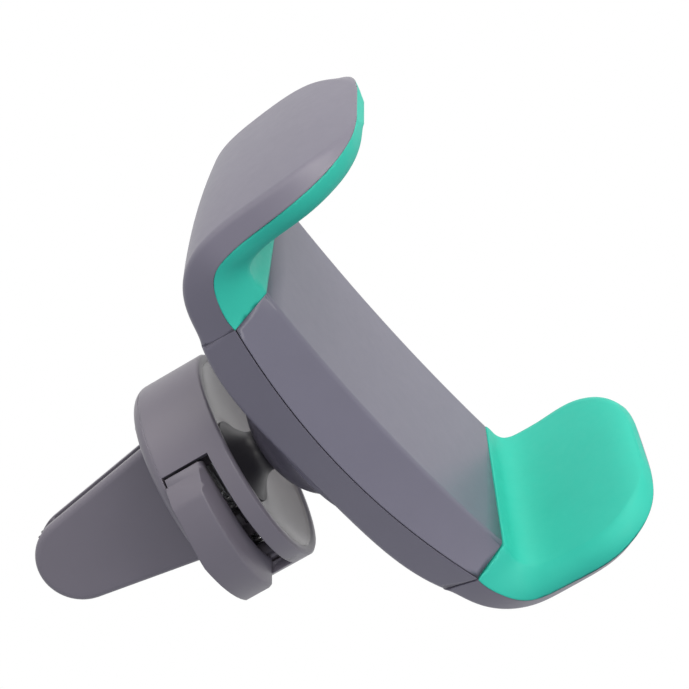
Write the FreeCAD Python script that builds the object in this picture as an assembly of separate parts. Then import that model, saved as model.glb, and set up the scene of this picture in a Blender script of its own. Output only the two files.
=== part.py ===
import FreeCAD, Part
import math
import os

# Car phone holder for an air vent. A cradle with one fixed and one spring-loaded jaw
# is carried on a ball joint by a round drum, and two sprung prongs grip a vent louvre.
#
# All sizes are in millimetres. The part's frame has its origin on the drum's axis, at
# the rear face of the drum. +Y points into the vent, +Z is up, +X is to the fixed jaw.
# The cradle is drawn in a frame of its own, which has its origin in the middle of the
# phone rest, +X to the fixed jaw and +Y to the back, and is then set on the ball.

V = FreeCAD.Vector
AXIS_X = V(1, 0, 0)
AXIS_Y = V(0, 1, 0)
AXIS_Z = V(0, 0, 1)

over = 1.0                   # how far a cutting shape runs past what it cuts

# How the cradle is turned on the ball: about which way, and by how many degrees
cradle_turn_way = (-10.67, -11.81, 8.46)
cradle_turn = 18.02

# Cradle body
body_half_length = 27.0      # to the seam where each jaw begins
cradle_half_width = 20.0     # at the parting line, the widest place
wall = 1.8
rest_half_width = 15.6       # flat rest that the phone's back lies against, at its ends
rest_bulge = 0.45            # how much wider the rest is at its middle
rest_hollow = 1.05           # how deep the rest curves in at its middle
rest_round = 0.6             # rounding along the rest's long edges
parting_end_y = 5.1          # depth of the parting line at the seams
parting_rise = 3.2           # how much deeper it runs at the middle
parting_groove = 0.16        # open line between the two covers
rear_y = 14.3                # rear edge at the middle
rear_drop = 2.9              # how much the rear edge comes forward at the seams
rear_inset = 2.1             # side band leans in by this much at the rear edge
rear_crown = 0.7
rear_round = 0.9             # rounding along the rear edge and the jaws' outer edges
rib_thick = 1.0

# Posts and screws that hold the two covers together
post_radius = 2.1
post_from_end = 6.5
post_from_side = 4.7
cover_seat_y = 11.2          # depth of the screw heads' seats
cover_screw_end_y = 4.5
post_floor = 1.0             # left solid below a post's hole

# Screws, the same small kind throughout, with the gap round a shank in its own thread
screw_radius = 1.0
screw_head_radius = 1.9
screw_head = 1.1
flat_head = 0.9
shank_gap = 0.05
hole_gap = 0.1
slot_reach = 0.6             # of a screw's cross slot, as a share of the head's radius
slot_half_width = 0.2

# Jaws
jaw_gap = 0.35               # running gap between the body and the moving jaw
jaw_tip_y = -22.7
tip_corner_radius = 11.5
tip_crown_radius = 45.0
outer_crown = 0.6
outer_crown_from = 3.0       # a jaw thinner than this is crowned less
bond_line = 0.03             # glue line between pad and shell

# Tongues that carry the jaws, and the screws in them
tongue_y = 5.75
tongue_thick = 1.8
slide_gap = 0.15
ear_length = 5.7
tongue_end_gap = 7.5         # between the two tongues with the jaws closed
fixed_screw_from_end = 9.0
tongue_past_screw = 4.5
tongue_screw_inset = 3.5     # of the screws in the tongues from the tongues' sides
tongue_root = 2.0            # how far the fixed tongue runs into its jaw
jaw_pocket = 6.0             # how far the sliding tongue reaches into its jaw
jaw_screw_reach = 3.8
jaw_head_y = 8.6
window_half_width = 2.2      # lightening windows in the sliding tongue
window_z = 4.0
window_from_end = 4.0

# Return springs
peg_radius = 0.9
peg_from_tongue = 1.9        # from the tongue's edge to the line of the springs
peg_inset = 2.0              # from the ears' inner edge
peg_end_y = 10.9
spring_post_from_end = 5.5
spring_post_reach = 1.2      # of a spring's post past the line of the springs
spring_room = 0.4            # between the springs and the covers' posts
return_spring_y = 9.6
return_spring_radius = 1.4
return_spring_wire = 0.35

# Ball joint
ball_y = 19.6                # ball centre behind the rest, in the cradle's frame
ball_radius = 6.0
ball_gap = 0.06
bore_gap = 0.15              # cup bore round the ball
cup_gap = 0.07
mouth_reach = 3.0            # how far the socket closes over the ball's middle
lip_wall = 1.3
lip_break = 0.25
socket_wall = 1.3            # of the tube round the cup
cone_foot_radius = 17.5      # of the cone that carries the socket, where it meets the rear wall
cone_foot_y = 14.7
cone_hollow = 0.3            # how far the cone's lower side curves in
cone_shoulder_radius = 11.2
cone_shoulder_drop = 0.6     # from the ball's middle down to the shoulder
cone_dome = 0.55             # how far the cone bulges between shoulder and mouth
cone_wall = 3.4              # across, along the radius
cup_rim = 2.6                # from the ball's middle down to the cup's edge
cup_back = 1.15              # floor of the cup behind the ball
disc_spring_height = 0.85
disc_spring_thick = 0.35
disc_spring_bore = 3.0
seat_gap = 0.02
retainer_thick = 1.4
retainer_radius = 7.6
retainer_lug = 2.2
retainer_screw_x = 8.9
retainer_screw_reach = 2.4
retainer_bore = 1.2

# Drum
drum_radius = 17.85
drum_depth = 12.5
drum_wall = 1.6
rim_lip = 1.25
lip_slope = 0.3              # of the lip's short inner wall, across and down
lip_depth = 0.55
rim_break = 0.35
flange = 2.9
dish_floor = 3.2             # floor of the dish below the rim
dish_sag = 0.5               # how far the dish wall bellies below a straight cone
front_wall = 1.3
foot_thick = 1.2             # of the dish wall beyond the flat floor
corner_thick = 2.2           # of the dish wall where it meets the drum's wall
back_plate = 1.8
back_round = 2.3             # rounding of the drum's rear edge, over plate and housing
slot_gap_x = 0.6
slot_gap_z = 1.2
plate_screw_inset = 4.95
plate_screw_z = 6.2
plate_pad_radius = 1.75
plate_pad_rib = 1.0          # half width of the rib from a pad to the drum's wall
pad_root = 0.5               # how far the inner pads and ears start inside the flange
plate_seat = 0.6
plate_screw_length = 4.5
blind_end = 0.5              # free depth past the end of a screw in a closed hole

# Ball stud
ball_out = 18.4              # ball centre in front of the drum's rear face
neck_radius = 3.6
neck_sink = 0.2              # how far the neck starts inside the ball
waist_radius = 3.65
waist_out = 5.9              # from the ball centre to the waist
flare_out = 1.7              # from the waist to the middle of the flare
flare_hollow = 0.2
flare_radius = 7.1
flare_edge = 0.35
floor_margin = 0.8           # of the dish floor outside the stud's flare
spigot_radius = 3.0
pivot_gap = 0.05
washer_radius = 4.2
washer_thick = 0.5
stud_head_radius = 2.1
stud_screw_length = 4.0

# Pivot pin and its ears in the drum
pivot_y = -5.2
pin_radius = 1.0
pin_break = 0.2              # chamfer at the pin's ends
pin_inset = 2.55             # of the pin's end inside the drum's radius
ear_inset = 3.45
ear_half_width = 2.2
ear_past_pin = 2.4

# Levers: wing, web and prong in one piece
knuckle_radius = 2.0
knuckle_space = 0.25
stud_room = 0.78             # between the inner spring and the stud screw's head
right_knuckle_x = 2.8
prong_length = 27.7
prong_root_half = 10.84
prong_tip_radius = 7.29
prong_outer_z = 3.12
prong_thick = 1.85
prong_round = 1.1
web_thick = 1.1
web_gap = 0.3                # between the web and the back plate
web_inset = 1.0              # of the web's edge inside the drum's radius
root_past = 0.2              # how far the web's block runs into the prong
tab_past = 0.2               # how far the outer spring's tab runs past its leg
knuckle_rise = 0.2           # of the knuckles' necks above the slot's middle
wing_from = 26.0             # angles from +Z, positive towards +X
wing_to = -58.0
wing_proud = 1.75            # of the drum's outside
wing_wall = 2.0
wing_travel = 1.55           # free way between the wing and the front flange
wing_bevel = 1.6             # how far the wing's front slopes back to its crease
wing_bevel_turn = 4.0        # degrees by which the slope leans, deeper at the lower end
wing_break = 0.3             # small bevel along the crease
wing_ramp = 13.0             # degrees of the sloped end
wing_gap = 0.4               # between the wing and the drum's wall and back plate
wing_back_y = -0.6           # rear edge of the wing at its lower end
wing_back_drop = 2.6         # how much further forward its upper end is
wing_back_bend = (-6.0, 2.0, 7.0)   # places along X where the slanted rear edge bends
wing_back_rise = (0.0, 0.4, 0.45)   # share of the drop reached at each of them
wing_foot = 0.5              # how far the wing reaches inside the drum's wall
wing_hollow = 0.6            # from the crease to the hollow behind the wing
wing_lug = 1.3               # left of the wing behind its hollow
window_gap = 1.5             # degrees of clearance at each end of the window

# Rubber pads on the prongs
grip_pad_thick = 0.5
grip_pad_inset = 1.2
grip_pad_end = 3.0
grip_rib_radius = 0.22
grip_rib_pitch = 2.6

# Torsion springs on the pivot pin
torsion_wire = 0.7
torsion_mean_radius = 1.6
torsion_turns = 3
torsion_space = 0.12         # between turns
torsion_leg = 3.8

# Places that follow from the sizes above
post_x = body_half_length - post_from_end
post_z = cradle_half_width - post_from_side
cover_posts = [(x, z) for x in (-post_x, post_x) for z in (-post_z, post_z)]
return_spring_z = post_z - post_radius - spring_room - return_spring_radius
tongue_half_width = return_spring_z - peg_from_tongue
tongue_screw_z = tongue_half_width - tongue_screw_inset
tongue_back_y = tongue_y + tongue_thick
fixed_screw_x = body_half_length - fixed_screw_from_end
fixed_tongue_x = fixed_screw_x - tongue_past_screw
tongue_inner_x = fixed_tongue_x - tongue_end_gap
peg_x = tongue_inner_x - peg_inset
spring_post_x = body_half_length - spring_post_from_end
jaw_screw_x = body_half_length + jaw_gap + jaw_screw_reach
cup_bore = ball_radius + bore_gap
cup_back_y = ball_y - ball_radius - cup_back
retainer_y = cup_back_y - disc_spring_height
rim_y = -drum_depth
floor_y = rim_y + dish_floor
floor_inside_y = floor_y + front_wall
under_rim_y = rim_y + flange
drum_inside = drum_radius - drum_wall
washer_y = floor_inside_y + pivot_gap
plate_screw_x = drum_radius - plate_screw_inset
plate_screws = [(x, z) for x in (-plate_screw_x, plate_screw_x) for z in (-plate_screw_z, plate_screw_z)]
pin_end_x = drum_radius - pin_inset
ear_x = drum_radius - ear_inset
wing_radius = drum_radius + wing_proud
prong_inner_z = prong_outer_z - prong_thick
web_back_y = -back_plate - web_gap

# Row of springs and knuckles along the pin, each a small space from the one before. Two
# springs and two knuckles share the room between the left ear and the stud screw's head.
torsion_length = torsion_turns * (torsion_wire + torsion_space) + torsion_wire
row_length = ear_x - stud_head_radius - stud_room - 4 * knuckle_space
knuckle_width = row_length / 2 - torsion_length
outer_spring_x = -ear_x + knuckle_space
far_x = outer_spring_x + torsion_length + knuckle_space
near_x = far_x + knuckle_width + knuckle_space
inner_spring_x = near_x + knuckle_width + knuckle_space
right_near_x = right_knuckle_x + knuckle_width + knuckle_space
far_knuckles = (far_x, right_knuckle_x)
near_knuckles = (near_x, right_near_x)
web_end_x = right_near_x + knuckle_width


def face_of(edges):
    return Part.Face(Part.Wire(edges))


def line(start, end):
    return Part.LineSegment(start, end).toShape()


def arc(start, middle, end):
    return Part.Arc(start, middle, end).toShape()


def chain(points):
    """Straight edges from each point to the next."""
    return [line(a, b) for a, b in zip(points, points[1:])]


def poly(points):
    """A closed flat face through the points, given as (x, y) pairs."""
    corners = [V(x, y, 0) for x, y in points]
    return Part.Face(Part.makePolygon(corners + corners[:1]))


def turned(face):
    return face.revolve(V(0, 0, 0), AXIS_Y, 360)


def box(x_low, x_high, y_low, y_high, z_low, z_high):
    return Part.makeBox(x_high - x_low, y_high - y_low, z_high - z_low, V(x_low, y_low, z_low))


def rod(radius, start, end):
    """A round bar from one point to another."""
    way = end - start
    return Part.makeCylinder(radius, way.Length, start, way)


def bar_y(radius, x, z, y_low, y_high):
    """A round bar along Y."""
    return rod(radius, V(x, y_low, z), V(x, y_high, z))


def far(point):
    """The same point on the far side of the cradle."""
    return V(point.x, point.y, -point.z)


def mirrored(shape, normal):
    return shape.mirror(V(0, 0, 0), normal)


def softened(corner, before, after, reach):
    """Start, middle and end of the arc that rounds a corner between two straight runs."""
    start = corner + (before - corner).normalize() * reach
    end = corner + (after - corner).normalize() * reach
    return start, (start + corner * 2 + end) / 4, end


def inward(low, high):
    """Way square to a rising side of a turned outline, towards its axis."""
    side = high - low
    return V(-side.y, side.x, 0).normalize()


def one(shapes):
    """Join shapes into one clean solid."""
    return shapes[0].fuse(shapes[1:]).removeSplitter()


# Placing the cradle: turned on the ball as the photographed one is
ball_centre = V(0, -ball_out, 0)
cradle_place = FreeCAD.Placement(ball_centre, FreeCAD.Rotation(V(*cradle_turn_way), cradle_turn)).multiply(
    FreeCAD.Placement(V(0, -ball_y, 0), FreeCAD.Rotation())
)


def on_ball(shape):
    placed = shape.copy()
    placed.Placement = cradle_place.multiply(placed.Placement)
    return placed


# Cradle body: sections along its length
def share(x):
    return (x / body_half_length) ** 2


def rest_at(x):
    """Depth and half width of the rest."""
    mid = 1 - share(x)
    return rest_hollow * mid, rest_half_width + rest_bulge * mid


def parting_at(x):
    return parting_end_y + parting_rise * (1 - share(x))


def rear_at(x):
    return rear_y - rear_drop * share(x) ** 2


def front_section(x, inset):
    """Section of the front cover. An inset one, for its inside, runs on past the parting line."""
    rest, half = rest_at(x)
    past = over if inset else -parting_groove
    part_y = parting_at(x) + past
    lean = (cradle_half_width - half) / (parting_at(x) - rest)
    side = inset * math.hypot(1, lean)
    top_y = rest + inset
    top_z = half + lean * inset - side
    low_z = cradle_half_width - side + lean * past
    top = V(x, top_y, top_z)
    low = V(x, part_y, low_z)
    start, middle, end = softened(top, far(top), low, rest_round)
    return Part.Wire([arc(far(end), far(middle), far(start)), line(far(start), start),
                      arc(start, middle, end), line(end, low), line(low, far(low)), line(far(low), far(end))])


def rear_section(x, inset):
    """Section of the rear cover, with its crowned back. An inset one starts before the parting line."""
    part_y = parting_at(x)
    lean = rear_inset / (rear_at(x) - part_y)
    back = rear_at(x) - inset
    low_z = cradle_half_width - inset * math.hypot(1, lean)
    back_z = low_z - lean * (back - part_y)
    if inset:
        part_y -= over
        low_z += lean * over
    edge = V(x, part_y, low_z)
    crown = V(x, back + rear_crown, 0)
    return rear_wire(edge, V(x, back, back_z), crown, rear_round)


def rear_wire(edge, corner, crown, reach):
    """Outline from one edge up the side, round a soft corner and over a crown to the far side."""
    start, middle, end = softened(corner, edge, crown, reach)
    return Part.Wire([line(far(edge), edge), line(edge, start), arc(start, middle, end),
                      arc(end, crown, far(end)), arc(far(end), far(middle), far(start)),
                      line(far(start), far(edge))])


def body_loft(section, inset, half_length):
    stations = [part * half_length for part in (-1, -0.7, -0.35, 0, 0.35, 0.7, 1)]
    return Part.makeLoft([section(x, inset) for x in stations], True, False)


def hollow_body(section):
    """A cover's shell, and the space up to the middle of its wall, which trims what stands inside."""
    shell = body_loft(section, 0, body_half_length).cut(body_loft(section, wall, body_half_length - wall))
    return shell, body_loft(section, wall / 2, body_half_length - wall / 2)


def front_cover():
    shell, inside = hollow_body(front_section)
    solids = [shell]
    for x, z in cover_posts:
        post = bar_y(post_radius, x, z, 0, parting_at(x)).common(inside)
        solids.append(post.cut(bar_y(screw_radius, x, z, wall + post_floor, parting_at(x) + over)))
    rib_z = tongue_half_width - rib_thick
    rib_end = body_half_length - wall
    for z in (-rib_z, rib_z):
        rib = box(-rib_end, rib_end, 0, tongue_y - slide_gap, z - rib_thick / 2, z + rib_thick / 2)
        solids.append(rib.common(inside))
    return one(solids)


def socket_cone():
    """Cone that stands on the rear wall and carries the socket, and the hollow inside it."""
    lip_y = ball_y + mouth_reach
    mouth = math.sqrt((ball_radius + ball_gap) ** 2 - mouth_reach ** 2)
    lip = mouth + lip_wall
    base_y = rear_y - wall
    foot = V(cone_foot_radius, cone_foot_y, 0)
    shoulder = V(cone_shoulder_radius, ball_y - cone_shoulder_drop, 0)
    top = V(lip, lip_y - lip_break, 0)
    flare = (foot + shoulder) / 2 + inward(foot, shoulder) * cone_hollow
    dome = (shoulder + top) / 2 - inward(shoulder, top) * cone_dome
    edges = chain([top, V(lip - lip_break, lip_y, 0), V(0, lip_y, 0), V(0, base_y, 0),
                   V(cone_foot_radius, base_y, 0), foot])
    cone = turned(face_of(edges + [arc(foot, flare, shoulder), arc(shoulder, dome, top)]))
    tube = cup_bore + socket_wall
    inside = cone_foot_radius - cone_wall
    side = shoulder - foot
    hollow_y = cone_foot_y + (inside - tube) * side.y / -side.x
    hollow = turned(poly([(tube, base_y - over), (inside, base_y - over), (inside, cone_foot_y),
                          (tube, hollow_y)]))
    return cone, hollow


def rear_cover():
    shell, inside = hollow_body(rear_section)
    solids = [shell]
    for x, z in cover_posts:
        solids.append(bar_y(post_radius, x, z, parting_at(x), rear_y).common(inside))
    rail_z = tongue_half_width - rib_thick / 2
    for z in (-rail_z, rail_z):
        rail = box(wall - body_half_length, peg_x, tongue_back_y + slide_gap, rear_y,
                   z - rib_thick / 2, z + rib_thick / 2)
        solids.append(rail.common(inside))
    for z in (-return_spring_z, return_spring_z):
        post = bar_y(peg_radius, spring_post_x, z, return_spring_y - spring_post_reach, rear_y)
        solids.append(post.common(inside))
    for z in (-tongue_screw_z, tongue_screw_z):
        solids.append(bar_y(post_radius, fixed_screw_x, z, tongue_back_y, rear_y).common(inside))
    cone, hollow = socket_cone()
    solids.append(cone)
    socket = [bar_y(cup_bore + socket_wall, 0, 0, retainer_y, ball_y)]
    for x in (-retainer_screw_x, retainer_screw_x):
        socket.append(bar_y(post_radius, x, 0, retainer_y, retainer_y + retainer_screw_reach + wall))
    cover = one([one(solids).cut(hollow)] + socket)
    cuts = [bar_y(cup_bore, 0, 0, retainer_y, ball_y),
            Part.makeSphere(ball_radius + ball_gap, V(0, ball_y, 0))]
    for x, z in cover_posts:
        cuts.append(bar_y(screw_radius + hole_gap, x, z, 0, rear_y + rear_crown + over))
        cuts.append(bar_y(screw_head_radius + hole_gap, x, z, cover_seat_y, rear_y + rear_crown + over))
    hole_end = retainer_y + retainer_screw_reach + hole_gap
    for x in (-retainer_screw_x, retainer_screw_x):
        cuts.append(bar_y(screw_radius, x, 0, retainer_y - over, hole_end))
    for z in (-tongue_screw_z, tongue_screw_z):
        cuts.append(bar_y(screw_radius, fixed_screw_x, z, 0, cover_seat_y))
    slot_half = tongue_half_width + slide_gap
    cuts.append(box(-body_half_length - over, wall + over - body_half_length, tongue_y - slide_gap,
                    tongue_back_y + slide_gap, -slot_half, slot_half))
    cuts.append(box(body_half_length - wall - over, body_half_length + over, tongue_y, tongue_back_y,
                    -tongue_half_width, tongue_half_width))
    return cover.cut(cuts)


# Jaws: lofted from the seam round the elbow to the tip
def tip_half_width(y):
    """Half width of the jaw's outline at a height, with rounded corners and a crowned top."""
    corner_z = cradle_half_width - tip_corner_radius
    crown_y = jaw_tip_y + corner_z ** 2 / (2 * tip_crown_radius)
    corner_y = crown_y + tip_corner_radius
    if y > corner_y:
        return cradle_half_width
    if y > crown_y:
        return corner_z + math.sqrt(tip_corner_radius ** 2 - (corner_y - y) ** 2)
    return math.sqrt(2 * tip_crown_radius * (y - jaw_tip_y))


# Stations of the jaw. Each gives the pad's face, the edge line between pad and shell and the
# shell's outer face, as (x beyond the seam, y), then how much narrower than the edge line the
# pad's face and the outer face are, and how far the pad's side bulges between face and edge.
# The last ones count y from the tip.
seam_station = (
    (0.0, 0.0), (0.0, parting_end_y), (0.0, rear_y - rear_drop),
    cradle_half_width - rest_half_width, rear_inset, 0.03,
)
elbow_stations = [
    ((2.4, -0.1), (3.1, 4.6), (3.7, 9.9), 4.0, 2.1, 0.15),
    ((4.3, -0.9), (6.0, 3.3), (8.3, 7.2), 3.7, 2.2, 0.35),
    ((5.3, -2.5), (7.9, 1.4), (10.6, 3.8), 3.3, 2.3, 0.6),
    ((5.75, -4.6), (8.7, -1.4), (11.5, 0.2), 3.0, 2.4, 0.8),
    ((5.9, -8.3), (9.0, -6.5), (11.7, -5.8), 3.0, 2.5, 0.85),
]
tip_stations = [
    ((5.9, 10.2), (9.05, 10.7), (11.4, 10.7), 3.0, 2.6, 0.85),
    ((5.9, 6.9), (9.0, 6.9), (10.9, 6.9), 3.0, 2.8, 0.8),
    ((6.0, 4.3), (8.95, 4.2), (10.2, 4.2), 3.0, 3.0, 0.7),
    ((6.35, 2.4), (8.9, 2.3), (9.6, 2.2), 3.0, 3.0, 0.55),
    ((6.8, 1.3), (8.85, 1.1), (9.2, 1.05), 2.8, 2.8, 0.45),
    ((7.1, 0.6), (8.8, 0.45), (9.0, 0.45), 2.2, 2.4, 0.3),
]


def from_tip(station):
    """The same station with its heights counted from the rest."""
    lines = [(x, y + jaw_tip_y) for x, y in station[:3]]
    return (*lines, *station[3:])


jaw_stations = [seam_station] + elbow_stations + [from_tip(station) for station in tip_stations]


def jaw_lines(station):
    """Corner points of one jaw section on the near side, and the crown of its outer face."""
    face, edge, outer, pad_in, outer_in, _ = station
    half = tip_half_width(edge[1])
    run = V(outer[0] - edge[0], outer[1] - edge[1], 0)
    rise = outer_crown * min(1.0, run.Length / outer_crown_from)
    pad_near = V(body_half_length + face[0], face[1], half - pad_in)
    edge_near = V(body_half_length + edge[0], edge[1], half)
    out_near = V(body_half_length + outer[0], outer[1], half - outer_in)
    crown = V(out_near.x, out_near.y, 0) + run.normalize() * rise
    return pad_near, edge_near, out_near, crown


def pad_section(station):
    """Section of the pad, drawn back from the shell by the bond line, with bulging sides."""
    pad_near, edge_near, _, _ = jaw_lines(station)
    bulge = station[-1]
    edge_near = edge_near + (pad_near - edge_near).normalize() * bond_line
    slant = pad_near - edge_near
    out = V(slant.x, slant.y, 0).normalize() * -slant.z + AXIS_Z * math.hypot(slant.x, slant.y)
    middle = (pad_near + edge_near) / 2 + out.normalize() * bulge
    return Part.Wire([line(far(edge_near), edge_near), arc(edge_near, middle, pad_near),
                      line(pad_near, far(pad_near)), arc(far(pad_near), far(middle), far(edge_near))])


def shell_section(station):
    _, edge_near, out_near, crown = jaw_lines(station)
    return rear_wire(edge_near, out_near, crown, rear_round)


def jaw_lofts():
    shell = Part.makeLoft([shell_section(station) for station in jaw_stations], True, False)
    pad = Part.makeLoft([pad_section(station) for station in jaw_stations], True, False)
    return shell, pad


def fixed_jaw():
    """Jaw with a tongue that is screwed to the rear cover."""
    shell, pad = jaw_lofts()
    tongue = box(fixed_tongue_x, body_half_length + tongue_root, tongue_y, tongue_back_y,
                 -tongue_half_width, tongue_half_width)
    for z in (-tongue_screw_z, tongue_screw_z):
        tongue = tongue.cut(bar_y(screw_radius + hole_gap, fixed_screw_x, z, 0, rear_y))
    return one([shell, tongue]), pad


def moving_jaw():
    """Jaw with a pocket for the sliding tongue, set off by its running gap."""
    shell, pad = jaw_lofts()
    for shape in (shell, pad):
        shape.translate(AXIS_X * jaw_gap)
    cuts = [box(0, body_half_length + jaw_gap + jaw_pocket, tongue_y, tongue_back_y,
                -tongue_half_width, tongue_half_width)]
    for z in (-tongue_screw_z, tongue_screw_z):
        cuts.append(bar_y(screw_radius + hole_gap, jaw_screw_x, z, tongue_y, rear_y))
        cuts.append(bar_y(screw_head_radius + hole_gap, jaw_screw_x, z, jaw_head_y, rear_y))
    return mirrored(shell.cut(cuts), AXIS_X), mirrored(pad, AXIS_X)


def slide_carriage():
    """Sliding tongue: a flat plate with ears that carry the springs' pegs and stop it."""
    outer_end = -body_half_length - jaw_gap - jaw_pocket
    ear_half = return_spring_z + peg_radius
    plate = box(outer_end, tongue_inner_x, tongue_y, tongue_back_y, -tongue_half_width, tongue_half_width)
    ears = box(tongue_inner_x - ear_length, tongue_inner_x, tongue_y, tongue_back_y, -ear_half, ear_half)
    pegs = [bar_y(peg_radius, peg_x, z, tongue_y, peg_end_y) for z in (-return_spring_z, return_spring_z)]
    carriage = one([plate, ears] + pegs)
    cuts = []
    for z in (-window_z, window_z):
        cuts.append(box(window_from_end - body_half_length, tongue_inner_x - ear_length,
                        tongue_y - over, tongue_back_y + over, z - window_half_width, z + window_half_width))
    for z in (-tongue_screw_z, tongue_screw_z):
        cuts.append(bar_y(screw_radius, -jaw_screw_x, z, tongue_y - over, tongue_back_y + over))
    return carriage.cut(cuts)


def screw(start, way, length, head_radius=screw_head_radius, head=screw_head):
    """A small pan-head screw with a cross slot: start is under the head, way is along the shank."""
    shank = Part.makeCylinder(screw_radius - shank_gap, length, start, way)
    back = start - way * head
    cap = Part.makeCylinder(head_radius, head, back, way)
    side = way.cross(V(way.y, way.z, way.x)).normalize()
    reach = slot_reach * head_radius
    slots = []
    for along in (side, way.cross(side)):
        across = way.cross(along) * slot_half_width
        ends = ((-reach, -1), (reach, -1), (reach, 1), (-reach, 1))
        corners = [back + along * a + across * b for a, b in ends]
        slots.append(Part.Face(Part.makePolygon(corners + corners[:1])).extrude(way * (head / 2)))
    return shank.fuse(cap).cut(slots)


def cover_screws():
    length = cover_seat_y - cover_screw_end_y
    return [screw(V(x, cover_seat_y, z), -AXIS_Y, length) for x, z in cover_posts]


def fixed_jaw_screws():
    length = cover_seat_y - tongue_y - over
    return [screw(V(fixed_screw_x, tongue_y, z), AXIS_Y, length, head=flat_head)
            for z in (-tongue_screw_z, tongue_screw_z)]


def carriage_screws():
    length = jaw_head_y - tongue_y
    return [screw(V(-jaw_screw_x, jaw_head_y, z), -AXIS_Y, length, head=flat_head)
            for z in (-tongue_screw_z, tongue_screw_z)]


def retainer_screws():
    start = retainer_y - retainer_thick
    return [screw(V(x, start, 0), AXIS_Y, retainer_thick + retainer_screw_reach, head=flat_head)
            for x in (-retainer_screw_x, retainer_screw_x)]


def return_springs():
    """Two extension springs, drawn as close-wound tubes with a loop round the peg at each end."""
    loop = peg_radius + return_spring_wire + shank_gap
    coil_end = peg_radius + 2 * return_spring_wire
    springs = []
    for z in (-return_spring_z, return_spring_z):
        start = V(peg_x + coil_end, return_spring_y, z)
        end = V(spring_post_x - coil_end, return_spring_y, z)
        bore = return_spring_radius - 2 * return_spring_wire
        hollow = rod(bore, start + AXIS_X * over, end - AXIS_X * over)
        loops = [Part.makeTorus(loop, return_spring_wire, V(x, return_spring_y, z), AXIS_Y)
                 for x in (peg_x, spring_post_x)]
        springs.append(one([rod(return_spring_radius, start, end).cut(hollow)] + loops))
    return springs


# Ball joint pieces in the cradle
def ball_cup():
    cup = bar_y(cup_bore - cup_gap, 0, 0, cup_back_y, ball_y - cup_rim)
    return cup.cut(Part.makeSphere(ball_radius + ball_gap, V(0, ball_y, 0)))


def disc_spring():
    """Coned washer that presses the cup on the ball."""
    outer = cup_bore - 2 * bore_gap
    low = retainer_y
    high = cup_back_y - seat_gap
    return turned(poly([(disc_spring_bore, high - disc_spring_thick), (outer, low),
                        (outer, low + disc_spring_thick), (disc_spring_bore, high)]))


def ball_retainer():
    """Plate with two lugs that holds the disc spring and cup in the boss."""
    low = retainer_y - retainer_thick
    solids = [bar_y(retainer_radius, 0, 0, low, retainer_y),
              box(-retainer_screw_x, retainer_screw_x, low, retainer_y, -retainer_lug, retainer_lug)]
    solids += [bar_y(retainer_lug, x, 0, low, retainer_y) for x in (-retainer_screw_x, retainer_screw_x)]
    holes = [bar_y(retainer_bore, 0, 0, low - over, retainer_y + over)]
    holes += [bar_y(screw_radius + hole_gap, x, 0, low - over, retainer_y + over)
              for x in (-retainer_screw_x, retainer_screw_x)]
    return one(solids).cut(holes)


# Clip: ball stud, drum and levers, all in the part's own frame
def ball_stud():
    """Ball, waisted stem, flare that sits in the dish, and spigot through the drum's front wall."""
    centre = -ball_out
    neck_y = centre + math.sqrt(ball_radius ** 2 - neck_radius ** 2) - neck_sink
    seat_y = floor_y - pivot_gap
    curve = Part.BSplineCurve()
    curve.interpolate([V(neck_radius, neck_y, 0), V(waist_radius, centre + waist_out, 0),
                       V((waist_radius + flare_radius) / 2 - flare_hollow, centre + waist_out + flare_out, 0),
                       V(flare_radius, seat_y - flare_edge, 0)])
    profile = [V(flare_radius, seat_y - flare_edge, 0), V(flare_radius, seat_y, 0),
               V(spigot_radius, seat_y, 0), V(spigot_radius, washer_y, 0), V(0, washer_y, 0),
               V(0, neck_y, 0), V(neck_radius, neck_y, 0)]
    stem = turned(face_of([curve.toShape()] + chain(profile)))
    stud = one([Part.makeSphere(ball_radius, ball_centre), stem])
    return stud.cut(bar_y(screw_radius, 0, 0, washer_y - stud_screw_length, 0))


def stud_washer():
    washer = bar_y(washer_radius, 0, 0, washer_y, washer_y + washer_thick)
    return washer.cut(bar_y(screw_radius + hole_gap, 0, 0, washer_y, washer_y + washer_thick))


def stud_screw():
    start = V(0, washer_y + washer_thick, 0)
    return screw(start, -AXIS_Y, stud_screw_length, head_radius=stud_head_radius, head=flat_head)


def sector(radius, angle_from, angle_to, y_low, y_high):
    """A pie slice about the Y axis, between two angles from +Z towards +X."""
    corners = [V(0, y_low, 0)]
    steps = 6
    for i in range(steps + 1):
        angle = math.radians(angle_from + (angle_to - angle_from) * i / steps)
        corners.append(V(radius * math.sin(angle), y_low, radius * math.cos(angle)))
    return Part.Face(Part.makePolygon(corners + corners[:1])).extrude(V(0, y_high - y_low, 0))


def drum_form():
    """Outer form of the whole drum, which housing and back plate share."""
    form = bar_y(drum_radius, 0, 0, rim_y, 0)
    rear = [edge for edge in form.Edges if edge.BoundBox.YMin > -seat_gap and edge.BoundBox.YMax < seat_gap]
    return form.makeFillet(back_round, rear)


def drum_shell():
    """Drum wall, rim and dished front, turned from one outline."""
    dish_radius = flare_radius + floor_margin
    lip_top = V(drum_radius - rim_lip, rim_y, 0)
    lip_low = lip_top + V(-lip_slope, lip_depth, 0)
    dish_end = V(dish_radius, floor_y, 0)
    belly = (lip_low + dish_end) / 2 + V(0, dish_sag, 0)
    bore = spigot_radius + pivot_gap
    outline = [dish_end, V(bore, floor_y, 0), V(bore, floor_inside_y, 0),
               V(dish_radius + foot_thick, floor_inside_y, 0), V(drum_inside - corner_thick, under_rim_y, 0),
               V(drum_inside, under_rim_y, 0), V(drum_inside, -back_plate, 0), V(drum_radius, -back_plate, 0),
               V(drum_radius, rim_y + rim_break, 0), V(drum_radius - rim_break, rim_y, 0), lip_top, lip_low]
    return turned(face_of(chain(outline) + [arc(lip_low, belly, dish_end)]))


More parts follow.
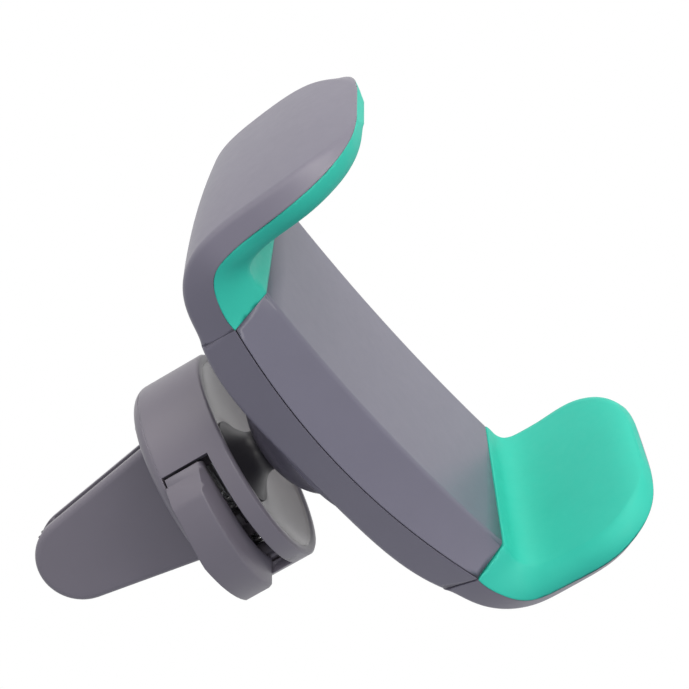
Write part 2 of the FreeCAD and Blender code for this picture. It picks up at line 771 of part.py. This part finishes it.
def drum_housing():
    """Drum with a window for each wing, bosses for the back plate's screws and ears for the pin."""
    window = sector(2 * drum_radius, wing_from + window_gap, wing_to - window_gap, under_rim_y, 0)
    window = window.cut(bar_y(drum_inside, 0, 0, under_rim_y - over, over))
    shell = drum_shell().common(drum_form()).cut([window, mirrored(window, AXIS_Z)])
    root_y = under_rim_y - pad_root
    trim = bar_y(drum_radius - drum_wall / 2, 0, 0, root_y, -back_plate)
    solids = [shell]
    for x, z in plate_screws:
        side = math.copysign(drum_radius, x)
        rib = box(min(x, side), max(x, side), root_y, -back_plate, z - plate_pad_rib, z + plate_pad_rib)
        solids.append(bar_y(plate_pad_radius, x, z, root_y, -back_plate).fuse(rib).common(trim))
    ear = box(ear_x, drum_radius, root_y, pivot_y + ear_past_pin, -ear_half_width, ear_half_width)
    ear = ear.common(trim)
    solids += [ear, mirrored(ear, AXIS_X)]
    slot_x = pin_end_x + hole_gap
    cuts = [rod(pin_radius, V(-slot_x, pivot_y, 0), V(slot_x, pivot_y, 0)),
            box(-slot_x, slot_x, pivot_y, 0, -pin_radius, pin_radius)]
    for x, z in plate_screws:
        cuts.append(bar_y(screw_radius, x, z, -plate_seat - plate_screw_length - blind_end, 0))
    return one(solids).cut(cuts)


def drum_back_plate():
    """Cap with the prongs' slot, and two tongues that keep the pin down in its ears."""
    plate = bar_y(drum_radius, 0, 0, -back_plate, 0).common(drum_form())
    half_x = prong_root_half + slot_gap_x
    half_z = prong_outer_z + slot_gap_z
    keeper = box(ear_x + hole_gap, pin_end_x, pivot_y + pin_radius + seat_gap, -back_plate,
                 hole_gap - pin_radius, pin_radius - hole_gap)
    plate = one([plate, keeper, mirrored(keeper, AXIS_X)])
    cuts = [box(-half_x, half_x, -back_plate - over, over, -half_z, half_z)]
    for x, z in plate_screws:
        cuts.append(bar_y(screw_radius + hole_gap, x, z, -back_plate - over, over))
        cuts.append(bar_y(screw_head_radius + hole_gap, x, z, -plate_seat, over))
    return plate.cut(cuts)


def back_plate_screws():
    return [screw(V(x, -plate_seat, z), -AXIS_Y, plate_screw_length, head=plate_seat)
            for x, z in plate_screws]


def pivot_pin():
    pin = rod(pin_radius, V(-pin_end_x, pivot_y, 0), V(pin_end_x, pivot_y, 0))
    return pin.makeChamfer(pin_break, pin.Edges)


def prong():
    """Tapered finger with a round tip, rounded along its outer edge."""
    side = math.asin((prong_root_half - prong_tip_radius) / (prong_length - prong_tip_radius))
    centre_y = prong_length - prong_tip_radius
    touch = V(prong_tip_radius * math.cos(side), centre_y + prong_tip_radius * math.sin(side), 0)
    near = [V(prong_root_half, web_back_y - web_thick / 2, 0), V(prong_root_half, 0, 0), touch]
    opposite = [V(-p.x, p.y, 0) for p in reversed(near)]
    tip = arc(touch, V(0, prong_length, 0), opposite[0])
    outline = face_of(chain(near) + [tip] + chain(opposite + near[:1]))
    outline.translate(V(0, 0, prong_inner_z))
    finger = outline.extrude(V(0, 0, prong_thick))
    outer = [edge for edge in finger.Edges
             if edge.BoundBox.ZMin > prong_outer_z - seat_gap and edge.BoundBox.YMax > seat_gap]
    return finger.makeFillet(prong_round, outer)


def wing():
    """Finger wing that stands proud of the drum's window, hollow behind its outer wall."""
    front = under_rim_y + wing_travel
    inner = drum_inside - wing_foot
    over_plate = drum_radius + wing_gap
    behind = -back_plate - wing_gap
    ring = turned(poly([(inner, front), (wing_radius, front), (wing_radius, wing_back_y),
                        (over_plate, wing_back_y), (over_plate, behind), (inner, behind)]))
    hollow_radius = wing_radius - wing_wall
    hollow_front = front + wing_bevel + wing_hollow
    hollow_back = behind - wing_lug
    hollow = turned(poly([(inner - over, hollow_front), (hollow_radius, hollow_front),
                          (hollow_radius, hollow_back), (inner - over, hollow_back)]))
    block = ring.cut(hollow).common(sector(2 * drum_radius, wing_from, wing_to, rim_y, over))
    return block.cut([wing_front_cut(), wing_end_cut(), wing_back_cut()])


def wing_front_cut():
    """Sloped front of the wing with its crease, leaning so that it is deeper at the lower end."""
    front = under_rim_y + wing_travel
    inner = drum_inside - wing_foot
    slope = wing_bevel / (wing_radius - inner)
    crease_radius = wing_radius - wing_break / 2
    crease_y = front + slope * (crease_radius - inner)
    outer = wing_radius + over
    cone = turned(poly([(inner - over, rim_y), (inner - over, front - slope * over),
                        (crease_radius, crease_y), (outer, crease_y + 2 * (outer - crease_radius)),
                        (outer, rim_y)]))
    cone.rotate(V(0, front, 0), AXIS_Z, -wing_bevel_turn)
    return cone


def wing_end_cut():
    """Slope at the wing's upper end, from the drum's surface to the wing's own."""
    end = math.radians(wing_from)
    top = math.radians(wing_from - wing_ramp)
    low = V(math.sin(end), 0, math.cos(end)) * drum_radius
    high = V(math.sin(top), 0, math.cos(top)) * wing_radius
    way = (high - low).normalize()
    out = V(way.z, 0, -way.x)
    start = low - way * drum_wall * 2
    stop = high + way * over
    height = out * drum_wall * 4
    corners = [V(p.x, rim_y, p.z) for p in (start, stop, stop + height, start + height, start)]
    return Part.Face(Part.makePolygon(corners)).extrude(AXIS_Y * drum_depth)


def wing_back_cut():
    """Slanted rear edge of the wing."""
    upper_y = wing_back_y - wing_back_drop
    bends = [(x, wing_back_y - wing_back_drop * rise) for x, rise in zip(wing_back_bend, wing_back_rise)]
    face = poly([(prong_root_half, upper_y), (prong_root_half, over), (wing_back_bend[0], over)] + bends)
    face.translate(V(0, 0, drum_inside - drum_wall))
    return face.extrude(V(0, 0, drum_radius))


def lever(knuckles):
    """The lever above the slot; the one below is its mirror image with its own knuckles."""
    web_front_y = web_back_y - web_thick
    reach = drum_radius - web_inset
    web = box(far_x, web_end_x, web_front_y, web_back_y, prong_inner_z, reach)
    web = web.common(bar_y(reach, 0, 0, web_front_y, web_back_y))
    root = box(-prong_root_half, prong_root_half, web_front_y, root_past, prong_inner_z, prong_outer_z)
    tab = box(outer_spring_x, far_x, web_front_y, web_back_y, prong_inner_z, torsion_leg + tab_past)
    solids = [prong(), root, web, tab, wing()]
    holes = []
    for low in knuckles:
        high = low + knuckle_width
        solids.append(rod(knuckle_radius, V(low, pivot_y, 0), V(high, pivot_y, 0)))
        solids.append(box(low, high, pivot_y, web_back_y, knuckle_rise, prong_outer_z))
        holes.append(rod(pin_radius + pivot_gap, V(low - over, pivot_y, 0), V(high + over, pivot_y, 0)))
    return one(solids).cut(holes)


def grip_pad():
    """Thin rubber pad on the prong's inner face, with cross ribs that bite on the louvre."""
    half = prong_tip_radius - grip_pad_inset
    face_z = prong_inner_z - grip_pad_thick
    solids = [box(-half, half, grip_pad_end, prong_length - grip_pad_end, face_z, prong_inner_z)]
    first = grip_pad_end + grip_rib_pitch
    ribs = 1 + int((prong_length - grip_pad_end - grip_rib_radius - first) / grip_rib_pitch)
    for i in range(ribs):
        y = first + grip_rib_pitch * i
        solids.append(rod(grip_rib_radius, V(-half, y, face_z), V(half, y, face_z)))
    return one(solids)


def torsion_spring(x_low):
    """A coil round the pin, with a leg in front of each lever's web."""
    pitch = torsion_wire + torsion_space
    height = pitch * torsion_turns
    helix = Part.makeHelix(pitch, height, torsion_mean_radius)
    section = Part.Wire(Part.Circle(V(torsion_mean_radius, 0, 0), AXIS_Y, torsion_wire / 2).toShape())
    coil = Part.Wire(helix.Edges).makePipeShell([section], True, True)
    legs = [Part.makeCylinder(torsion_wire / 2, torsion_leg, V(torsion_mean_radius, 0, z), way)
            for z, way in ((0, -AXIS_Y), (height, AXIS_Y))]
    spring = coil.fuse(legs)
    spring.rotate(V(0, 0, 0), V(1, 1, 1), 120)
    spring.translate(V(x_low + torsion_wire / 2, pivot_y, 0))
    return spring


def torsion_springs():
    return [torsion_spring(outer_spring_x), torsion_spring(inner_spring_x)]


def write(name, shape):
    if isinstance(shape, list):
        shape = Part.makeCompound(shape)
    shape.exportStep("parts/" + name + ".step")
    print(name, "solids", len(shape.Solids), "valid", shape.isValid(), "volume", round(shape.Volume, 2))


os.makedirs("parts", exist_ok=True)

fixed_shell, fixed_pad = fixed_jaw()
moving_shell, moving_pad = moving_jaw()

# Pieces drawn in the cradle's frame, and set on the ball
cradle_pieces = {
    "front_cover": front_cover(),
    "rear_cover": rear_cover(),
    "fixed_jaw_shell": fixed_shell,
    "fixed_jaw_pad": fixed_pad,
    "moving_jaw_shell": moving_shell,
    "moving_jaw_pad": moving_pad,
    "slide_carriage": slide_carriage(),
    "cover_screws": Part.makeCompound(cover_screws()),
    "fixed_jaw_screws": Part.makeCompound(fixed_jaw_screws()),
    "carriage_screws": Part.makeCompound(carriage_screws()),
    "retainer_screws": Part.makeCompound(retainer_screws()),
    "return_springs": Part.makeCompound(return_springs()),
    "ball_cup": ball_cup(),
    "disc_spring": disc_spring(),
    "ball_retainer": ball_retainer(),
}
for name, shape in cradle_pieces.items():
    write(name, on_ball(shape))

# Pieces of the vent clip
write("ball_stud", ball_stud())
write("stud_washer", stud_washer())
write("stud_screw", stud_screw())
write("drum_housing", drum_housing())
write("drum_back_plate", drum_back_plate())
write("back_plate_screws", back_plate_screws())
write("pivot_pin", pivot_pin())
write("upper_lever", lever(near_knuckles))
write("lower_lever", mirrored(lever(far_knuckles), AXIS_Z))
write("upper_grip_pad", grip_pad())
write("lower_grip_pad", mirrored(grip_pad(), AXIS_Z))
write("torsion_springs", torsion_springs())
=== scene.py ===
import math

import bmesh
import bpy
from mathutils import Euler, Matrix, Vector


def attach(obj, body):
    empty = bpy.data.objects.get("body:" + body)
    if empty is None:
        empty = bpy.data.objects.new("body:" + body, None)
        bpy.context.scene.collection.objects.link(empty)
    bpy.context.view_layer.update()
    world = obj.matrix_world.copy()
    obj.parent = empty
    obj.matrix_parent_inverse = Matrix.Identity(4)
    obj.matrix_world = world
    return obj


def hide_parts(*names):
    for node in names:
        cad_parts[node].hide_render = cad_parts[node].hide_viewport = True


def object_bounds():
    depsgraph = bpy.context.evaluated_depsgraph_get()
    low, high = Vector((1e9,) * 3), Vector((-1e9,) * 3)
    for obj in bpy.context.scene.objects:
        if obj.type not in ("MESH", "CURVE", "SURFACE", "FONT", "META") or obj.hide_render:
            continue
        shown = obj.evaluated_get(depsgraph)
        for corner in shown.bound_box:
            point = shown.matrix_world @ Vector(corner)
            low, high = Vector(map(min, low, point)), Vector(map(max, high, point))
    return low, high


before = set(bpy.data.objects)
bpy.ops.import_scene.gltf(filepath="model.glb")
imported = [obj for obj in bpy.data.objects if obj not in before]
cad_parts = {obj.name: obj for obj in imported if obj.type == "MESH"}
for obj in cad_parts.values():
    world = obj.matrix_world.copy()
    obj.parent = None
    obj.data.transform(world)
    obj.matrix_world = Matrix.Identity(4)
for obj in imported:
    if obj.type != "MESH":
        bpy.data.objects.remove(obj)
cad_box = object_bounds()


# Front cover of the cradle
# One moulded shell in satin grey plastic, whose slightly hollow rest takes the phone's back.
# Four posts inside it take the screws from the rear cover.
MM = 0.001
merge_gap = 0.002 * MM
crease_angle = 32


def smoothed(node):
    """A merged copy of a moulded piece, smooth between its real edges."""
    shape = bmesh.new()
    shape.from_mesh(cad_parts[node].data)
    bmesh.ops.remove_doubles(shape, verts=shape.verts, dist=merge_gap)
    mesh = bpy.data.meshes.new(node + "_skin")
    shape.to_mesh(mesh)
    shape.free()
    for face in mesh.polygons:
        face.use_smooth = True
    mesh.set_sharp_from_angle(angle=math.radians(crease_angle))
    piece = bpy.data.objects.new(node + "_skin", mesh)
    bpy.context.scene.collection.objects.link(piece)
    return piece


def finish_skin(node, body, material):
    """Put the finished skin of a piece in the place of its solid."""
    piece = smoothed(node)
    piece.data.materials.append(material)
    even = piece.modifiers.new("even_normals", "WEIGHTED_NORMAL")
    even.keep_sharp = True
    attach(piece, body)
    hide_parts(node)


def srgb(red, green, blue):
    """A colour as seen on screen, 0 to 255, as the linear values that a shader takes."""
    linear = []
    for value in (red, green, blue):
        part = value / 255
        linear.append(part / 12.92 if part <= 0.04045 else ((part + 0.055) / 1.055) ** 2.4)
    return (*linear, 1.0)


def tinted(colour, factor):
    """A colour made lighter or darker by a factor."""
    return (*[value * factor for value in colour[:3]], 1.0)


noise_low = 0.3
noise_high = 0.7


def spread(tree, factor, low, high):
    """A value that runs between two limits as a noise goes over its usual range."""
    span = tree.nodes.new("ShaderNodeMapRange")
    span.inputs["From Min"].default_value = noise_low
    span.inputs["From Max"].default_value = noise_high
    span.inputs["To Min"].default_value = low
    span.inputs["To Max"].default_value = high
    tree.links.new(factor, span.inputs["Value"])
    return span.outputs["Result"]


def shaded(tree, factor, colour, darker, dish_painted_light):
    """A colour that runs between two tints as a noise goes over its usual range."""
    ramp = tree.nodes.new("ShaderNodeValToRGB")
    ramp.color_ramp.elements[0].position = noise_low
    ramp.color_ramp.elements[1].position = noise_high
    ramp.color_ramp.elements[0].color = tinted(colour, darker)
    ramp.color_ramp.elements[1].color = tinted(colour, dish_painted_light)
    tree.links.new(factor, ramp.inputs["Fac"])
    return ramp.outputs["Color"]


def grain(tree, size, detail=3.0):
    """Noise whose grains are about so many millimetres across."""
    place = tree.nodes.new("ShaderNodeTexCoord")
    noise = tree.nodes.new("ShaderNodeTexNoise")
    noise.inputs["Scale"].default_value = 1 / (size * MM)
    noise.inputs["Detail"].default_value = detail
    noise.inputs["Roughness"].default_value = 0.55
    tree.links.new(place.outputs["Object"], noise.inputs["Vector"])
    return noise.outputs["Fac"]


def raised(tree, pattern, strength, height):
    """A bump node that raises a pattern, so many millimetres high."""
    bump = tree.nodes.new("ShaderNodeBump")
    bump.inputs["Strength"].default_value = strength
    bump.inputs["Distance"].default_value = height * MM
    tree.links.new(pattern, bump.inputs["Height"])
    return bump


corner_radius = 0.25 * MM
corner_starts = 0.99
corner_full = 0.85


def rounded_corners(tree):
    """Rounded corners: their normal, and how much of a corner a place is, from 0 to 1. It goes by
    the cosine of the angle between that normal and the surface's own."""
    corner = tree.nodes.new("ShaderNodeBevel")
    corner.samples = 6
    corner.inputs["Radius"].default_value = corner_radius
    surface = tree.nodes.new("ShaderNodeNewGeometry")
    facing = tree.nodes.new("ShaderNodeVectorMath")
    facing.operation = "DOT_PRODUCT"
    tree.links.new(corner.outputs["Normal"], facing.inputs[0])
    tree.links.new(surface.outputs["Normal"], facing.inputs[1])
    near = tree.nodes.new("ShaderNodeMapRange")
    near.inputs["From Min"].default_value = corner_starts
    near.inputs["From Max"].default_value = corner_full
    tree.links.new(facing.outputs["Value"], near.inputs["Value"])
    return corner.outputs["Normal"], near.outputs["Result"]


cloud_size = 6.0
satin_size = 1.6
# Corners are painted paler by this factor, a painted highlight along the edges.
corner_highlight_tint = 1.25
corner_polish = 0.12


def moulded_plastic(name, colour, rough=(0.38, 0.41), cloud=0.02, relief=0.0016, texture=0.22,
                    gloss=0.5):
    """Satin plastic from a spark-eroded mould: faint clouds of shade, a fine even texture, and
    corners that are slightly round and polished, and painted paler as a painted highlight."""
    material = bpy.data.materials.new(name)
    material.use_nodes = True
    tree = material.node_tree
    skin = tree.nodes["Principled BSDF"]
    skin.inputs["Specular IOR Level"].default_value = gloss
    corner, near = rounded_corners(tree)

    # The paler corners are a painted highlight along the rounded edges.
    painted_corner_highlight = tree.nodes.new("ShaderNodeMix")
    painted_corner_highlight.data_type = "RGBA"
    painted_corner_highlight.inputs["B"].default_value = tinted(colour, corner_highlight_tint)
    tree.links.new(near, painted_corner_highlight.inputs["Factor"])
    clouds = shaded(tree, grain(tree, cloud_size, detail=4.0), colour, 1 - cloud, 1 + cloud)
    tree.links.new(clouds, painted_corner_highlight.inputs["A"])
    tree.links.new(painted_corner_highlight.outputs["Result"], skin.inputs["Base Color"])

    polished = tree.nodes.new("ShaderNodeMath")
    polished.operation = "MULTIPLY_ADD"
    polished.inputs[1].default_value = -corner_polish
    tree.links.new(near, polished.inputs[0])
    tree.links.new(spread(tree, grain(tree, satin_size), *rough), polished.inputs[2])
    tree.links.new(polished.outputs["Value"], skin.inputs["Roughness"])

    bump = raised(tree, grain(tree, texture, detail=2.0), strength=0.6, height=relief)
    tree.links.new(corner, bump.inputs["Normal"])
    tree.links.new(bump.outputs["Normal"], skin.inputs["Normal"])
    return material


cover_plastic = moulded_plastic("satin_cover_plastic", srgb(106, 104, 119))
finish_skin("front_cover", "cradle", cover_plastic)


# Rear cover of the cradle
# The other half of the cradle's body, in a slightly darker grey of the same plastic. It carries
# the ball's socket on a cone, and the screws that hold both halves sit in its recesses.
case_plastic = moulded_plastic("satin_case_plastic", srgb(104, 101, 115))
finish_skin("rear_cover", "cradle", case_plastic)


# Jaw shells
# Two moulded hooks in the case's grey plastic. One is screwed to the cradle's body and the other
# to the slide.
finish_skin("fixed_jaw_shell", "cradle", case_plastic)
finish_skin("moving_jaw_shell", "moving_jaw", case_plastic)


# Jaw pads
# Teal rubber moulded on the shells' inner faces, smooth and less glossy than the plastic, so
# that the phone doesn't slip or get scratched.
pad_rubber = moulded_plastic("teal_pad_rubber", srgb(45, 181, 160), rough=(0.5, 0.6),
                             relief=0.004, texture=0.3, gloss=0.3)
finish_skin("fixed_jaw_pad", "cradle", pad_rubber)
finish_skin("moving_jaw_pad", "moving_jaw", pad_rubber)


# Slide of the moving jaw
# A slotted plate of grey acetal, which slides between ribs of the covers and is screwed to the
# moving jaw.
slide_acetal = moulded_plastic("slide_acetal", srgb(120, 119, 122), rough=(0.3, 0.38))
finish_skin("slide_carriage", "moving_jaw", slide_acetal)


# Cup and retainer of the ball joint
# A black acetal cup sits on the ball, and a black plate screwed in the rear cover holds it.
# Both are out of sight inside the cradle.
black_acetal = moulded_plastic("black_acetal", srgb(40, 39, 44), rough=(0.38, 0.46), cloud=0.06)
finish_skin("ball_cup", "ball_cup", black_acetal)
finish_skin("ball_retainer", "cradle", black_acetal)


# Springs inside the cradle
# A coned washer of spring steel presses the cup on the ball. Two extension springs of bright
# wire, drawn as the tubes that their close coils fill, pull the moving jaw closed.
steel_shade_size = 0.9
steel_shade = (0.9, 1.06)
steel_satin_size = 0.4
steel_rough = (0.28, 0.42)
steel_grain_size = 0.12


def bright_steel(name, colour, brushed):
    """Bright steel with a fine drawn or turned grain, so many millimetres deep."""
    material = bpy.data.materials.new(name)
    material.use_nodes = True
    tree = material.node_tree
    skin = tree.nodes["Principled BSDF"]
    skin.inputs["Metallic"].default_value = 1.0
    shade = shaded(tree, grain(tree, steel_shade_size), colour, *steel_shade)
    tree.links.new(shade, skin.inputs["Base Color"])
    satin = spread(tree, grain(tree, steel_satin_size), *steel_rough)
    tree.links.new(satin, skin.inputs["Roughness"])
    bump = raised(tree, grain(tree, steel_grain_size), strength=0.4, height=brushed)
    tree.links.new(bump.outputs["Normal"], skin.inputs["Normal"])
    return material


spring_steel = bright_steel("spring_steel", srgb(244, 244, 246), brushed=0.002)
finish_skin("disc_spring", "cradle", spring_steel)
finish_skin("return_springs", "cradle", spring_steel)


# Screws and washer
# Small zinc-plated screws with round heads and a cross slot: taller heads on the covers, lower
# ones elsewhere. The washer is under the screw that holds the ball stud in the drum.
screw_steel = bright_steel("zinc_plated_steel", srgb(190, 191, 196), brushed=0.006)
for node, body in (("cover_screws", "cradle"), ("fixed_jaw_screws", "cradle"),
                   ("carriage_screws", "moving_jaw"), ("retainer_screws", "cradle"),
                   ("back_plate_screws", "vent_clip"), ("stud_screw", "ball_stud")):
    finish_skin(node, body, screw_steel)
finish_skin("stud_washer", "ball_stud", screw_steel)


# Ball stud
# Ball, waisted stem and flared foot in one piece of black acetal. The foot turns in the drum's
# front.
stud_acetal = moulded_plastic("stud_acetal", srgb(54, 53, 58), rough=(0.38, 0.46), cloud=0.05,
                              gloss=0.4)
finish_skin("ball_stud", "ball_stud", stud_acetal)


# Drum of the vent clip
# A dished housing in grey plastic with a window for each wing, closed at the back by a plate
# with four screws. The mould was polished where it forms the dish, and the dish is painted paler,
# as painted light.
clip_plastic = moulded_plastic("satin_clip_plastic", srgb(102, 98, 108))
drum_plastic = moulded_plastic("satin_drum_plastic", srgb(105, 101, 111))
dish_radius = 16.4 * MM
dish_lean = -0.15               # Y of a normal, below which a face looks to the drum's front
# The dish's paler colour is painted light on the drum's own plastic.
dish_painted_light_colour = srgb(144, 141, 142)
dish_satin_size = 5.0
dish_rough = (0.18, 0.24)


def in_dish(tree):
    """One on faces that look to the drum's front within the dish's radius, and nought elsewhere."""
    place = tree.nodes.new("ShaderNodeTexCoord")
    flat = tree.nodes.new("ShaderNodeVectorMath")
    flat.operation = "MULTIPLY"
    flat.inputs[1].default_value = (1, 0, 1)
    reach = tree.nodes.new("ShaderNodeVectorMath")
    reach.operation = "LENGTH"
    inside = tree.nodes.new("ShaderNodeMath")
    inside.operation = "LESS_THAN"
    inside.inputs[1].default_value = dish_radius
    tree.links.new(place.outputs["Object"], flat.inputs[0])
    tree.links.new(flat.outputs["Vector"], reach.inputs[0])
    tree.links.new(reach.outputs["Value"], inside.inputs[0])

    facing = tree.nodes.new("ShaderNodeSeparateXYZ")
    front = tree.nodes.new("ShaderNodeMath")
    front.operation = "LESS_THAN"
    front.inputs[1].default_value = dish_lean
    tree.links.new(place.outputs["Normal"], facing.inputs["Vector"])
    tree.links.new(facing.outputs["Y"], front.inputs[0])

    both = tree.nodes.new("ShaderNodeMath")
    both.operation = "MULTIPLY"
    tree.links.new(inside.outputs["Value"], both.inputs[0])
    tree.links.new(front.outputs["Value"], both.inputs[1])
    return both.outputs["Value"]


drum_tree = drum_plastic.node_tree
drum_skin = drum_tree.nodes["Principled BSDF"]
dish = in_dish(drum_tree)
# Paint the dish paler, as painted light.
dish_painted_light = drum_tree.nodes.new("ShaderNodeMix")
dish_painted_light.data_type = "RGBA"
dish_painted_light.inputs["B"].default_value = dish_painted_light_colour
drum_tree.links.new(dish, dish_painted_light.inputs["Factor"])
drum_tree.links.new(drum_skin.inputs["Base Color"].links[0].from_socket, dish_painted_light.inputs["A"])
drum_tree.links.new(dish_painted_light.outputs["Result"], drum_skin.inputs["Base Color"])
smoother = drum_tree.nodes.new("ShaderNodeMix")
drum_tree.links.new(dish, smoother.inputs["Factor"])
drum_tree.links.new(drum_skin.inputs["Roughness"].links[0].from_socket, smoother.inputs["A"])
dish_satin = spread(drum_tree, grain(drum_tree, dish_satin_size), *dish_rough)
drum_tree.links.new(dish_satin, smoother.inputs["B"])
drum_tree.links.new(smoother.outputs["Result"], drum_skin.inputs["Roughness"])

finish_skin("drum_housing", "vent_clip", drum_plastic)
finish_skin("drum_back_plate", "vent_clip", clip_plastic)


# Levers of the vent clip
# Each is one moulding in the clip's grey plastic, with a finger wing outside the drum and a
# prong behind it. Both turn on one steel pin, and two wound wire springs press the prongs shut.
finish_skin("upper_lever", "upper_lever", clip_plastic)
finish_skin("lower_lever", "lower_lever", clip_plastic)
finish_skin("pivot_pin", "vent_clip", screw_steel)
finish_skin("torsion_springs", "vent_clip", spring_steel)


# Rubber pads of the prongs
# Thin strips of dull black rubber on the prongs' inner faces, whose ribs bite on the vent's
# louvre.
grip_rubber = moulded_plastic("grip_rubber", srgb(46, 46, 50), rough=(0.6, 0.75), cloud=0.06,
                              relief=0.02, texture=0.3)
finish_skin("upper_grip_pad", "upper_lever", grip_rubber)
finish_skin("lower_grip_pad", "lower_lever", grip_rubber)


# Floor
# A sheet of white paper well below the part. The camera and reflections see it plain white, and
# only light meets its real shade.
floor_drop = 250 * MM
floor_half = 1.5
sheet = bmesh.new()
bmesh.ops.create_grid(sheet, x_segments=1, y_segments=1, size=floor_half)
bmesh.ops.translate(sheet, verts=sheet.verts, vec=Vector((0, 0, cad_box[0][2] - floor_drop)))
floor_mesh = bpy.data.meshes.new("floor")
sheet.to_mesh(floor_mesh)
sheet.free()
floor = bpy.data.objects.new("floor", floor_mesh)
bpy.context.scene.collection.objects.link(floor)


def seen_rays(tree):
    """One for rays that the camera, a reflection or clear plastic sends out, nought for light."""
    rays = tree.nodes.new("ShaderNodeLightPath")
    total = rays.outputs["Is Camera Ray"]
    for kind in ("Is Glossy Ray", "Is Transmission Ray"):
        either = tree.nodes.new("ShaderNodeMath")
        either.operation = "MAXIMUM"
        tree.links.new(total, either.inputs[0])
        tree.links.new(rays.outputs[kind], either.inputs[1])
        total = either.outputs["Value"]
    return total


paper = bpy.data.materials.new("white_paper")
paper.use_nodes = True
paper_tree = paper.node_tree
paper_skin = paper_tree.nodes["Principled BSDF"]
paper_skin.inputs["Base Color"].default_value = srgb(235, 235, 235)
paper_skin.inputs["Roughness"].default_value = 0.9
paper_white = paper_tree.nodes.new("ShaderNodeEmission")
paper_white.inputs["Color"].default_value = (1, 1, 1, 1)
paper_mix = paper_tree.nodes.new("ShaderNodeMixShader")
paper_out = paper_tree.nodes["Material Output"]
paper_tree.links.new(seen_rays(paper_tree), paper_mix.inputs["Fac"])
paper_tree.links.new(paper_skin.outputs["BSDF"], paper_mix.inputs[1])
paper_tree.links.new(paper_white.outputs["Emission"], paper_mix.inputs[2])
paper_tree.links.new(paper_mix.outputs["Shader"], paper_out.inputs["Surface"])
floor_mesh.materials.append(paper)


# Sky
# A white studio tent, brightest on the side that is up in the photo and dimmer and bluer below.
# The camera and reflections see it plain white.
sky_side = (0.83, -0.5, -0.25)
sky_stops = (
    (0.0, (0.22, 0.24, 0.31, 1)),
    (0.5, (0.64, 0.65, 0.71, 1)),
    (1.0, (0.88, 0.865, 0.855, 1)),
)
world = bpy.data.worlds.new("studio")
bpy.context.scene.world = world
world.use_nodes = True
sky_tree = world.node_tree
sky = sky_tree.nodes["Background"]
sky_place = sky_tree.nodes.new("ShaderNodeTexCoord")
sky_height = sky_tree.nodes.new("ShaderNodeVectorMath")
sky_height.operation = "DOT_PRODUCT"
sky_height.inputs[1].default_value = sky_side
sky_turn = sky_tree.nodes.new("ShaderNodeMapRange")
sky_turn.inputs["From Min"].default_value = -1.0
sky_ramp = sky_tree.nodes.new("ShaderNodeValToRGB")
sky_ramp.color_ramp.elements.new(sky_stops[1][0])
for stop, (place, colour) in zip(sky_ramp.color_ramp.elements, sky_stops):
    stop.position = place
    stop.color = colour
sky_tree.links.new(sky_place.outputs["Generated"], sky_height.inputs[0])
sky_tree.links.new(sky_height.outputs["Value"], sky_turn.inputs["Value"])
sky_tree.links.new(sky_turn.outputs["Result"], sky_ramp.inputs["Fac"])
sky_tree.links.new(sky_ramp.outputs["Color"], sky.inputs["Color"])

white = sky_tree.nodes.new("ShaderNodeBackground")
white.inputs["Color"].default_value = (1, 1, 1, 1)
sky_mix = sky_tree.nodes.new("ShaderNodeMixShader")
sky_out = sky_tree.nodes["World Output"]
sky_tree.links.new(seen_rays(sky_tree), sky_mix.inputs["Fac"])
sky_tree.links.new(sky.outputs["Background"], sky_mix.inputs[1])
sky_tree.links.new(white.outputs["Background"], sky_mix.inputs[2])
sky_tree.links.new(sky_mix.outputs["Shader"], sky_out.inputs["Surface"])


# Lamps
# Three large soft lamps and a small one on the camera's side, which reaches into the gap between
# wing and drum. All are slightly warm and look at the drum from the same distance.
lamp_distance = 0.7
lamp_colour = (1.0, 0.965, 0.9)


def soft_lamp(name, side, size, watts):
    """A square lamp that looks at the part from one side."""
    lamp = bpy.data.lights.new(name, "AREA")
    lamp.shape = "SQUARE"
    lamp.size = size
    lamp.energy = watts
    lamp.color = lamp_colour
    holder = bpy.data.objects.new(name, lamp)
    way = Vector(side).normalized()
    holder.location = way * lamp_distance
    holder.rotation_euler = way.to_track_quat("Z", "Y").to_euler()
    bpy.context.scene.collection.objects.link(holder)


soft_lamp("key_lamp", (0.905, -0.415, 0.09), size=0.45, watts=2.3)
soft_lamp("side_lamp", (0.96, 0.2, 0.1), size=0.45, watts=0.7)
soft_lamp("front_lamp", (0.26, -0.77, 0.58), size=0.4, watts=2.0)
soft_lamp("gap_lamp", (0.26, -0.27, 0.92), size=0.1, watts=0.45)


# Camera
# It stands where the photo was taken from, found from the corners of the rest and the drum's
# rim. Its place is in millimetres, and its turns are in degrees.
camera_place = (52.15, -54.09, 184.18)
camera_turn = (-14.78, -1.26, -120.45)
camera = bpy.data.cameras.new("camera")
camera.sensor_width = 36.0
camera.lens = 64.6
view = bpy.data.objects.new("camera", camera)
view.location = Vector(camera_place) * MM
view.rotation_euler = Euler([math.radians(angle) for angle in camera_turn])
bpy.context.scene.collection.objects.link(view)
bpy.context.scene.camera = view

bpy.context.scene.view_settings.view_transform = "Standard"
